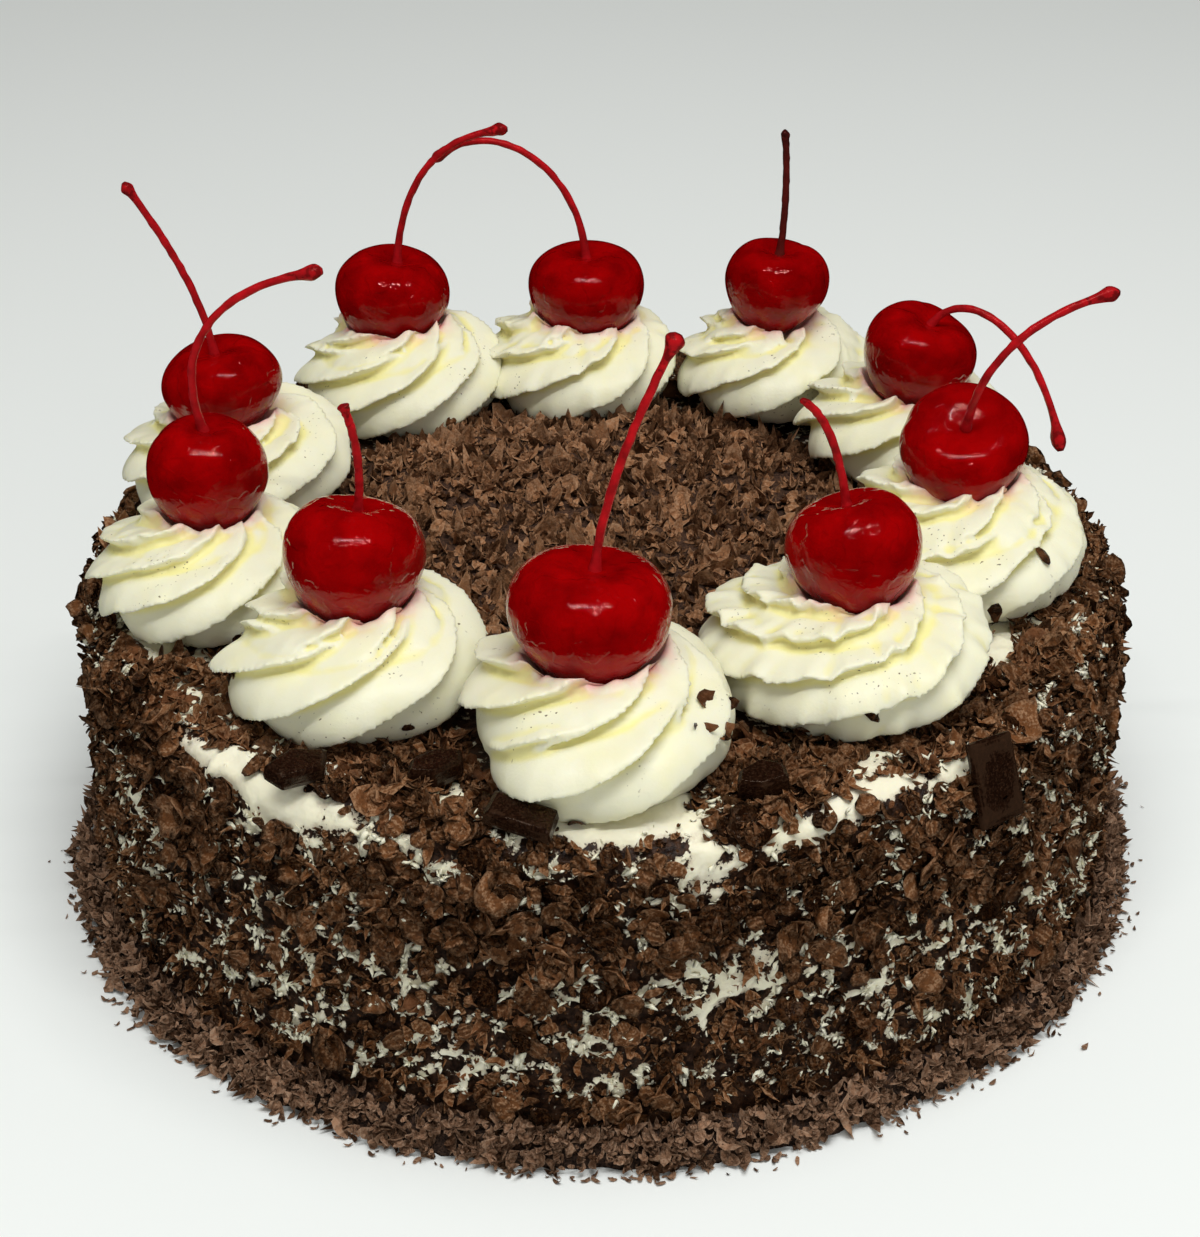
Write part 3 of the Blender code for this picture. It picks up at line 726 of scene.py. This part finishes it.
def wound_rope(middle, half_width, start, turns, lobes, twist, ruffle, rise, seed):
    """Sections of a star rope on a spiral that tightens and climbs: radius = fatness (1 + depth wave),
    the wave's phase being lobes * section angle - twist * winding angle, so the lobes wind as well."""
    t = np.linspace(0, 1, int(ROPE_SECTIONS_PER_TURN * turns))[:, None]
    theta = np.linspace(0, 2 * np.pi, ROPE_AROUND, endpoint=False)[None, :]
    wind = np.radians(start) + 2 * np.pi * turns * t
    fatness = ROPE_RADIUS * (1 - 0.17 * t) * np.sqrt(np.clip(t * 16, 0.02, 1)) * (1 - 0.35 * t ** 6)
    spiral = (half_width - ROPE_RADIUS) * (1 - 0.56 * t ** 1.2)
    climb = ROPE_RADIUS * 0.80 * ROPE_FLATTENING + rise * MM * t ** 1.05
    ring = np.stack([np.cos(wind) * 20 * MM, np.sin(wind) * 20 * MM, 40 * MM * t + seed * 0.1], axis=-1)
    wobble = lattice_noise(ring, 9 * MM, seed)
    phase = lobes * theta - twist * wind + 0.9 * wobble + seed
    wave = shingle(phase)
    frill = np.sin(wind * 17 + seed + 1.5 * wobble) + 0.6 * np.sin(wind * 29 + 2 * seed)
    depth = LOBE_DEPTH * (1 + 0.35 * lattice_noise(ring, 6 * MM, seed + 1))
    radius = fatness * (1 + depth * wave + 0.035 * ruffle * frill * (wave + 1) / 2)
    lean = LOBE_OVERHANG * (wave + 1) / 2 * 2 * np.pi / lobes
    section = theta - lean + 0.07 * ruffle * frill * ((wave + 1) / 2) ** 2
    out = spiral + radius * np.cos(section)
    point = np.stack([middle[0] + out * np.cos(wind), middle[1] + out * np.sin(wind),
                      SWIRL_FOOT + climb + radius * np.sin(section) * ROPE_FLATTENING], axis=-1)
    torn = lattice_noise(point, 1.1 * MM, seed + 2) + 0.8 * lattice_noise(point, 0.6 * MM, seed + 3)
    point[..., 2] += torn * 0.17 * MM * np.clip(wave, 0, 1) ** 2
    point[..., 2] = np.maximum(point[..., 2], SWIRL_FOOT)
    return point


def tip_matrix(number):
    """Turns a cherry's upright axis by its lean to +X and then to +Y."""
    a, b = np.radians(CHERRY_LEANS[number - 1]) * [1, -1]
    about_y = np.array([[np.cos(a), 0, np.sin(a)], [0, 1, 0], [-np.sin(a), 0, np.cos(a)]])
    about_x = np.array([[1, 0, 0], [0, np.cos(b), -np.sin(b)], [0, np.sin(b), np.cos(b)]])
    return about_y @ about_x


def cherry_form(number):
    """Middle and half sizes of a cherry before its lean, from the box of its solid."""
    middle, size = solid_box(f"cherry_{number:02d}")
    return middle, size[:2].mean() / 2 * np.array([1, 1, CHERRY_HEIGHTS[number - 1]])


def apply_modifiers(piece):
    """The piece's mesh as its modifiers leave it."""
    view = bpy.context.evaluated_depsgraph_get()
    mesh = bpy.data.meshes.new_from_object(piece.evaluated_get(view))
    piece.modifiers.clear()
    piece.data = mesh


def one_skin(piece):
    """The outer skin of a rope that laps over itself, remade at an even step."""
    remesh = piece.modifiers.new("skin", "REMESH")
    remesh.mode = "VOXEL"
    remesh.voxel_size = SKIN_STEP
    remesh.use_smooth_shade = True
    apply_modifiers(piece)
    piece.data.shade_smooth()


def neighbour_mean(points, edges, rounds):
    """Each point replaced by the mean of its neighbours, several times."""
    count = np.bincount(edges.ravel(), minlength=len(points))[:, None]
    for _ in range(rounds):
        total = np.stack([np.bincount(edges[:, 0], points[edges[:, 1], k], len(points))
                          + np.bincount(edges[:, 1], points[edges[:, 0], k], len(points))
                          for k in range(3)], axis=-1)
        points = total / np.maximum(count, 1)
    return points


def read_points(mesh):
    """Vertex places and edges of a mesh as arrays."""
    points = np.empty(len(mesh.vertices) * 3)
    mesh.vertices.foreach_get("co", points)
    edges = np.empty(len(mesh.edges) * 2, dtype=np.int32)
    mesh.edges.foreach_get("vertices", edges)
    return points.reshape(-1, 3), edges.reshape(-1, 2)


def read_normals(mesh):
    """Vertex normals of a mesh as an array."""
    normals = np.empty(len(mesh.vertices) * 3)
    mesh.vertices.foreach_get("normal", normals)
    return normals.reshape(-1, 3)


def round_cherry(points, number):
    """Points in a frame in which the swirl's seat for its cherry is the unit ball: upright = turned back
    (point - middle) / (half sizes + clearance). Also their distance from the middle in that frame."""
    middle, half = cherry_form(number)
    upright = (points - middle) @ tip_matrix(number) / (half + SEAT_CLEARANCE)
    return upright, np.linalg.norm(upright, axis=1, keepdims=True)


def press_cherry(points, number):
    """A lip is raised round the seat, then what lies inside the seat is moved out along its radius."""
    middle, half = cherry_form(number)
    _, reach = round_cherry(points, number)
    uneven = 0.6 + 0.6 * lattice_noise(points, 2.4 * MM, 50 + number)[:, None]
    lip = np.exp(-((reach - LIP_BAND[0]) / LIP_BAND[1]) ** 2) * uneven
    points = points + np.array([0, 0, 1]) * LIP_HEIGHT * lip
    upright, reach = round_cherry(points, number)
    seat = upright / np.maximum(reach, 0.05) * (half + SEAT_CLEARANCE)
    return np.where(reach < 1, middle + seat @ tip_matrix(number).T, points), reach


def whipped_cream_finish():
    """Ivory cream: darker and butter-yellow in the folds, a painted shade, and butter-yellow in random
    patches; pink where juice ran, fine dark specks of vanilla.
    """
    made, shader, n = node_tools("whipped_cream")
    shader.inputs["Roughness"].default_value = 0.42
    shader.inputs["Subsurface Weight"].default_value = 0.22
    shader.inputs["Subsurface Radius"].default_value = (1.0, 0.8, 0.42)
    shader.inputs["Subsurface Scale"].default_value = 2.2 * MM
    # Painted shade: the hollower the fold, the darker and yellower the cream
    fold_shade = n.spread(n.reading("fold_shade"), 0.0, 0.9)
    colour = n.blend(fold_shade, IVORY, BUTTER_TONE_AND_FOLD_SHADE)
    colour = n.blend(n.spread(n.grain(7 * MM), 0.45, 0.75, 0.0, 0.25), colour, BUTTER_TONE_AND_FOLD_SHADE)
    patchy = n.sum_of(n.reading("juice"), n.spread(n.grain(3 * MM, 3.0), 0.3, 0.7, 0.25, 1.1), "MULTIPLY")
    colour = n.blend(n.spread(patchy, 0.05, 0.9, 0.0, 0.8), colour, JUICE_PINK)
    speck = n.spread(n.grain(0.62 * MM, 0.0), 0.755, 0.79)
    area = n.spread(n.grain(11 * MM, 1.0), 0.56, 0.68)
    n.feed("Base Color", n.blend(n.sum_of(speck, area, "MULTIPLY"), colour, VANILLA_SPECK))
    fine = n.sum_of(n.grain(0.5 * MM), 0.4, "MULTIPLY")
    n.relief(n.sum_of(n.grain(1.6 * MM, 4.0, 0.6), fine), 0.10 * MM, 0.7)
    return made


cream_finish = whipped_cream_finish()
cream_surfaces = []
for number, (start, turns, lobes, twist, ruffle, _, spread, shift, rise) in enumerate(SWIRLS, 1):
    middle, size = solid_box(f"rosette_{number:02d}")
    middle = middle[:2] + np.array(shift) * MM
    half_width = size[:2].max() / 2 * SOLID_SHARE * spread
    rope = wound_rope(middle, half_width, start, turns, lobes, twist, ruffle, rise, number)
    swirl = skin(f"swirl_{number:02d}", rope[:, ::-1])
    one_skin(swirl)
    points, edges = read_points(swirl.data)
    points = 0.5 * points + 0.5 * neighbour_mean(points, edges, 1)
    points, reach = press_cherry(points, number)
    swirl.data.vertices.foreach_set("co", points.ravel())
    swirl.data.update()
    normals = read_normals(swirl.data)
    cream_surfaces.append((middle, points, normals))
    # How far each point lies below its neighbours' mean, for the painted shade in the folds
    hollow = ((neighbour_mean(points, edges, 10) - points) * normals).sum(axis=1)
    mark(swirl, "fold_shade", np.clip(hollow / FOLD_SHADE_DEPTH, -1, 1.5))
    from_seat = np.clip(reach - 1, 0, None) * cherry_form(number)[1].mean()
    mark(swirl, "juice", np.exp(-from_seat / JUICE_REACH))
    swirl.data.materials.append(cream_finish)
    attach(swirl, "root")
    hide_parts(f"rosette_{number:02d}")

# ---------------------------------------------------------------------------------------
# Stuck flakes: a few dark flakes that fell while the cake was finished, and caught on the soft
# cream of the swirls, each lying against the surface that it landed on.
STUCK_LIFT = 0.3 * MM
# Each flake: swirl, way from its middle (degrees), height (mm)
STUCK_FLAKES = (
    (1, -22, 84), (1, -30, 79), (1, -18, 77), (1, -35, 82), (1, -26, 80), (1, -14, 82), (1, -95, 69),
    (2, -62, 73), (2, -75, 70), (2, -100, 70), (2, -160, 76), (3, -70, 72), (3, -40, 74), (5, -60, 74),
    (6, -90, 73), (7, -120, 74), (9, -80, 74), (9, -50, 82), (10, -115, 70), (10, -85, 76),
    (10, -20, 78),
)


def landing(number, way, height):
    """The vertex of a swirl that lies furthest out in a direction, near a height: the largest of
    out - 4 (distance aside + distance above or below). Its place and normal."""
    middle, points, normals = cream_surfaces[number - 1]
    ahead = np.array([np.cos(np.radians(way)), np.sin(np.radians(way))])
    flat = points[:, :2] - middle
    aside = np.abs(flat @ [-ahead[1], ahead[0]]) + np.abs(points[:, 2] - height * MM)
    nearest = np.argmax(flat @ ahead - 4 * aside)
    return points[nearest] + normals[nearest] * STUCK_LIFT, normals[nearest]


spots, normals = (np.array(rows) for rows in zip(*(landing(*row) for row in STUCK_FLAKES)))
lengths = chance.uniform(2.6, 5.4, len(spots)) * MM
stuck = strew("stuck_flakes", spots, normals, lengths, chance, across=5, along=4, slim=0.7, thick=0.10,
              curl=0.4, lean=0.2, ragged=0.2, middle_tint=0.0)
stuck.data.materials.append(side_finish)
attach(stuck, "root")

# ---------------------------------------------------------------------------------------
# Cherries: maraschino cherries, stoned and steeped in syrup, so the skin is deep clear red,
# wet, a little shrunken and creased, with a dimple where the stem goes in.
DIMPLE_DEPTH = 3.4 * MM
DIMPLE_SPREAD = 0.46
SHOULDER = 0.15
CHERRY_ROWS = 74
CHERRY_COLUMNS = 108
POLE_GAP = 0.02
DENT_DEPTH = 0.8 * MM
FLESH_BRIGHT = (0.30, 0.0006, 0.0012)
FLESH_DARK = (0.17, 0.0003, 0.0008)
RED_GLINT = (1.0, 0.30, 0.28, 1.0)


def cherry_shape(number):
    """A globe times 1 + shoulder sin^2(polar) cos(polar), less a bell-shaped dimple at the stem, with a
    seam down one side and slow dents."""
    middle, half = cherry_form(number)
    polar = np.linspace(np.pi - POLE_GAP, POLE_GAP, CHERRY_ROWS)
    angle = np.linspace(0, 2 * np.pi, CHERRY_COLUMNS, endpoint=False)
    angle, polar = np.meshgrid(angle, polar)
    ball = np.stack([np.sin(polar) * np.cos(angle), np.sin(polar) * np.sin(angle), np.cos(polar)], axis=-1)
    shoulder = 1 + SHOULDER * np.sin(polar) ** 2 * np.cos(polar)
    top = np.where(polar < np.pi / 2, np.exp(-(np.sin(polar) / DIMPLE_SPREAD) ** 2), 0)
    seed = 60 + number
    dents = 0.75 * lattice_noise(ball, 0.9, seed) + 0.22 * lattice_noise(ball, 0.42, seed + 20)
    groove = np.exp(-((np.abs(np.sin((angle - number) / 2)) / 0.07) ** 2)) * np.sin(polar) ** 2
    shape = ball * half * shoulder[..., None] + ball * ((dents - 0.45 * groove) * DENT_DEPTH)[..., None]
    shape[..., 2] -= DIMPLE_DEPTH * top
    return shape @ tip_matrix(number).T + middle


def syrup_skin_finish():
    """Clear wet skin over red flesh: a smooth coat, faint creases, light glowing in the flesh."""
    made, shader, n = node_tools("cherry_skin")
    shader.inputs["Roughness"].default_value = 0.05
    shader.inputs["Specular IOR Level"].default_value = 0.28
    shader.inputs["Specular Tint"].default_value = RED_GLINT
    shader.inputs["Coat Weight"].default_value = 0.11
    shader.inputs["Coat Roughness"].default_value = 0.02
    shader.inputs["Subsurface Weight"].default_value = 0.25
    shader.inputs["Subsurface Radius"].default_value = (1.0, 0.06, 0.04)
    shader.inputs["Subsurface Scale"].default_value = 2.5 * MM
    n.feed("Base Color", n.blend(n.spread(n.grain(6 * MM, 3.0), 0.35, 0.7), FLESH_BRIGHT, FLESH_DARK))
    crease = n.spread(n.grain(5 * MM, 1.5, 0.6), 0.475, 0.525)
    folds = n.sum_of(n.sum_of(crease, 0.45, "MULTIPLY"), n.grain(3.2 * MM, 3.0, 0.6), "ADD")
    folds = n.sum_of(folds, n.sum_of(n.grain(0.9 * MM, 1.0), 0.14, "MULTIPLY"))
    n.relief(folds, 0.55 * MM, 0.50)
    return made


cherry_finish = syrup_skin_finish()
for number in SWIRL_NUMBERS:
    cherry = skin(f"glazed_cherry_{number:02d}", cherry_shape(number))
    cherry.data.materials.append(cherry_finish)
    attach(cherry, "root")
    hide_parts(f"cherry_{number:02d}")

# ---------------------------------------------------------------------------------------
# Stems: springy stalks dyed red by the syrup, thin in the middle, swollen at the foot and at
# the knob where they were picked; one has dried nearly black.
STEM_RADIUS = 0.85 * MM
STEM_RINGS = 96
STEM_SIDES = 16
STEM_DROP = 2.2 * MM
ROOT_DEPTH = 2.2 * MM
# Any direction that no stem runs in, to square its rings by
NOT_ALONG_A_STEM = (0.13, 0.97, 0.21)
# Out of the cherry, before the tip, tip (mm from the stem's foot), tip width (mm)
STEM_ARCS = (
    ((1, 1, 14), (8, 5, 28), (14, 8, 40), 3.6), ((1, 0, 8), (0, 0, 15), (-2, 0, 20), 2.4),
    ((-7, 0, 18), (5, 0, 30), (24, 0, 32), 3.6), ((-1, 0, 13), (-9, 0, 26), (-15, 0, 36), 3.0),
    ((1, 0, 17), (9, -1, 29), (25, -1, 30), 3.4), ((-1, 0, 21), (-21, 2, 33), (-34, 2, 21), 3.2),
    ((1, 0, 8), (1, 0, 18), (0, 0, 27), 2.0), ((5, -1, 11), (22, -9, 2), (26, -19, -21), 3.2),
    ((0, -8, 16), (9, -4, 25), (27, 0, 28), 3.4), ((-1, 0, 8), (-4, 0, 18), (-9, 0, 20), 1.1),
)
DRIED_STEM = 7
STALK_RED = ((0.46, 0.007, 0.011), (0.16, 0.004, 0.005))
STALK_DRIED = ((0.10, 0.010, 0.008), (0.035, 0.006, 0.005))
STALK_GLINT = (1.0, 0.25, 0.22, 1.0)


def stem_shape(number):
    """A tube on a Bezier arc (1-t)^3 foot + 3t(1-t)^2 first + 3t^2(1-t) second + t^3 tip, its radius
    swelling as a bell curve at both ends, with slow knots along it."""
    middle, half = cherry_form(number)
    axis = tip_matrix(number) @ [0, 0, 1]
    start = middle + axis * (half[2] - STEM_DROP)
    first, second, tip = (start + np.array(handle) * MM for handle in STEM_ARCS[number - 1][:3])
    foot = start - axis * ROOT_DEPTH
    t = np.linspace(0, 1, STEM_RINGS)[:, None]
    path = (1 - t) ** 3 * foot + 3 * t * (1 - t) ** 2 * first + 3 * t * t * (1 - t) * second + t ** 3 * tip
    ahead = np.gradient(path, axis=0)
    ahead /= np.linalg.norm(ahead, axis=1, keepdims=True)
    side = np.cross(ahead, NOT_ALONG_A_STEM)
    side /= np.linalg.norm(side, axis=1, keepdims=True)
    other = np.cross(ahead, side)
    knob = STEM_ARCS[number - 1][3] / 2 * MM
    swell = np.exp(-((1 - t) / 0.07) ** 2)
    radius = STEM_RADIUS * (0.92 + 0.55 * np.exp(-(t / 0.06) ** 2)) * (1 - swell) + knob * swell
    radius = radius * np.sqrt(np.clip((1.004 - t) / 0.03, 0.02, 1))
    theta = np.linspace(0, 2 * np.pi, STEM_SIDES, endpoint=False)[None, :]
    knots = np.stack([t * 30 + 0 * theta, np.cos(theta) + 0 * t, np.sin(theta) + number + 0 * t], axis=-1)
    lumps = 1 + (0.14 + 0.22 * swell) * lattice_noise(knots, 1.1, 90)
    ring = np.cos(theta)[..., None] * side[:, None] + np.sin(theta)[..., None] * other[:, None]
    return path[:, None] + ring * (radius * lumps)[..., None]


def stalk_finish(name, light, dark):
    """Dyed stalk, darker at its ends, slightly streaky, syrup-wet."""
    made, shader, n = node_tools(name)
    shader.inputs["Roughness"].default_value = 0.25
    shader.inputs["Specular IOR Level"].default_value = 0.35
    shader.inputs["Specular Tint"].default_value = STALK_GLINT
    shade = n.spread(n.grain(3 * MM, 3.0), 0.35, 0.7, 0.0, 0.8)
    tip = n.spread(n.sum_of(n.reading("along"), n.grain(1.5 * MM, 3.0)), 1.38, 1.52)
    n.feed("Base Color", n.blend(n.sum_of(shade, tip, "MAXIMUM"), light, dark))
    n.relief(n.grain(0.8 * MM, 3.0), 0.2 * MM, 0.6)
    return made


stem_finish = stalk_finish("cherry_stalk", *STALK_RED)
dried_finish = stalk_finish("dried_stalk", *STALK_DRIED)
for number in SWIRL_NUMBERS:
    stem = skin(f"cherry_stem_{number:02d}", stem_shape(number))
    mark(stem, "along", np.append(np.repeat(np.linspace(0, 1, STEM_RINGS), STEM_SIDES), (0, 1)))
    stem.data.materials.append(dried_finish if number == DRIED_STEM else stem_finish)
    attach(stem, "root")
    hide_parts(f"stem_{number:02d}")

# ---------------------------------------------------------------------------------------
# Broken chocolate: pieces of the block that snapped off in scraping, dark, satin on their
# moulded faces and rough where they broke.
BROKEN_PIECES = ("chocolate_bar", "chocolate_wedge", "chocolate_shard", "chocolate_stack", "chocolate_curl")
WELD_DISTANCE = 0.01 * MM
EDGE_WEAR = 0.35 * MM
ROUGHNESS_DEPTH = 0.08 * MM
BLOCK_DEEP = (0.008, 0.0028, 0.0014)
BLOCK_PALE = (0.030, 0.011, 0.005)
BLOCK_DUST = (0.13, 0.070, 0.038)


def broken_copy(node):
    """The solid's own shape, welded, worn at its edges, divided finely, and pushed in and out along
    its normals by noise. Dust gathers where a vertex stands proud of its neighbours' mean."""
    piece = bpy.data.objects.new(f"{node}_piece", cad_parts[node].data.copy())
    bpy.context.scene.collection.objects.link(piece)
    weld = piece.modifiers.new("weld", "WELD")
    weld.merge_threshold = WELD_DISTANCE
    bevel = piece.modifiers.new("edges", "BEVEL")
    bevel.width = EDGE_WEAR
    bevel.segments = 2
    divide = piece.modifiers.new("divide", "SUBSURF")
    divide.subdivision_type = "SIMPLE"
    divide.levels = 2
    divide.render_levels = 2
    apply_modifiers(piece)
    points, edges = read_points(piece.data)
    normals = read_normals(piece.data)
    rough = lattice_noise(points, 2.6 * MM, 71) + 0.7 * lattice_noise(points, 1.0 * MM, 72)
    worn = points + normals * rough[:, None] * ROUGHNESS_DEPTH
    piece.data.vertices.foreach_set("co", worn.ravel())
    mark(piece, "tint", np.full(len(points), 0.12))
    mark(piece, "stroke", np.zeros(len(points)))
    corner = ((points - neighbour_mean(points, edges, 6)) * normals).sum(axis=1)
    mark(piece, "rim", 0.45 + 3.0 * corner / MM + 0.25 * lattice_noise(points, 1.2 * MM, 73))
    return piece


block_finish = shaved_chocolate_finish("dark_chocolate", BLOCK_DEEP, BLOCK_PALE, BLOCK_DUST, 0.34,
                                       gloss=0.26, pitted=0.08)
for node in BROKEN_PIECES:
    piece = broken_copy(node)
    piece.data.materials.clear()
    piece.data.materials.append(block_finish)
    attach(piece, "root")
    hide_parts(node)

# ---------------------------------------------------------------------------------------
# Studio: a pale table, a camera a little above the cake, a broad soft lamp overhead, a fill from
# the front, and a long strip lamp that draws the thin highlight on each cherry.
TABLE_HALF = 3.0
TABLE_COLOUR = (0.885, 0.92, 0.895, 1.0)
# Each lamp: place, what it points at, size (m), power (W), whether wet and satin skins mirror it
LAMPS = {
    "overhead": ((0.12, -0.15, 1.25), (0, 0, 0.05), (0.75, 0.6), 6.1, False),
    "front_fill": ((0.55, -1.5, 0.75), (0, 0, 0.05), (1.0, 0.8), 3.7, False),
    "front_strip": ((0.05, -0.46, 1.12), (0, 0, 0.08), (1.0, 0.012), 6.4, True),
}
AIR_COLOUR = (1.0, 0.985, 0.96, 1.0)
AIR_LIGHT = 0.28
LENS = 73.3
FILM_WIDTH = 36.0
CAMERA_PLACE = (-0.0002, -0.4563, 0.3166)
CAMERA_DOWN = 30.18


def plain_table():
    """One large pale square at the height the cake stands on, which the chocolate doesn't mirror."""
    corners = np.array([(-1, -1, 0), (1, -1, 0), (1, 1, 0), (-1, 1, 0)]) * TABLE_HALF
    made = new_piece("table", corners, [(0, 1, 2, 3)])
    material, shader, _ = node_tools("table")
    shader.inputs["Base Color"].default_value = TABLE_COLOUR
    shader.inputs["Roughness"].default_value = 0.7
    made.data.materials.append(material)
    made.visible_glossy = False
    return made


def soft_lamp(name, place, aim, size, power, mirrored):
    """A rectangular lamp turned towards a point."""
    lamp = bpy.data.lights.new(name, "AREA")
    lamp.shape = "RECTANGLE"
    lamp.size, lamp.size_y = size
    lamp.energy = power
    made = bpy.data.objects.new(name, lamp)
    bpy.context.scene.collection.objects.link(made)
    made.location = place
    made.rotation_euler = (Vector(aim) - Vector(place)).to_track_quat("-Z", "Y").to_euler()
    made.visible_glossy = mirrored


plain_table()
for name, row in LAMPS.items():
    soft_lamp(name, *row)

world = bpy.data.worlds.new("studio")
bpy.context.scene.world = world
world.use_nodes = True
air = world.node_tree.nodes["Background"]
air.inputs["Color"].default_value = AIR_COLOUR
air.inputs["Strength"].default_value = AIR_LIGHT
world.cycles_visibility.glossy = False

camera_data = bpy.data.cameras.new("camera")
camera_data.lens = LENS
camera_data.sensor_width = FILM_WIDTH
camera_data.clip_start = 0.01
camera = bpy.data.objects.new("camera", camera_data)
camera.location = CAMERA_PLACE
camera.rotation_euler = (np.radians(90 - CAMERA_DOWN), 0, 0)
bpy.context.scene.collection.objects.link(camera)
bpy.context.scene.camera = camera
bpy.context.scene.view_settings.view_transform = "Standard"
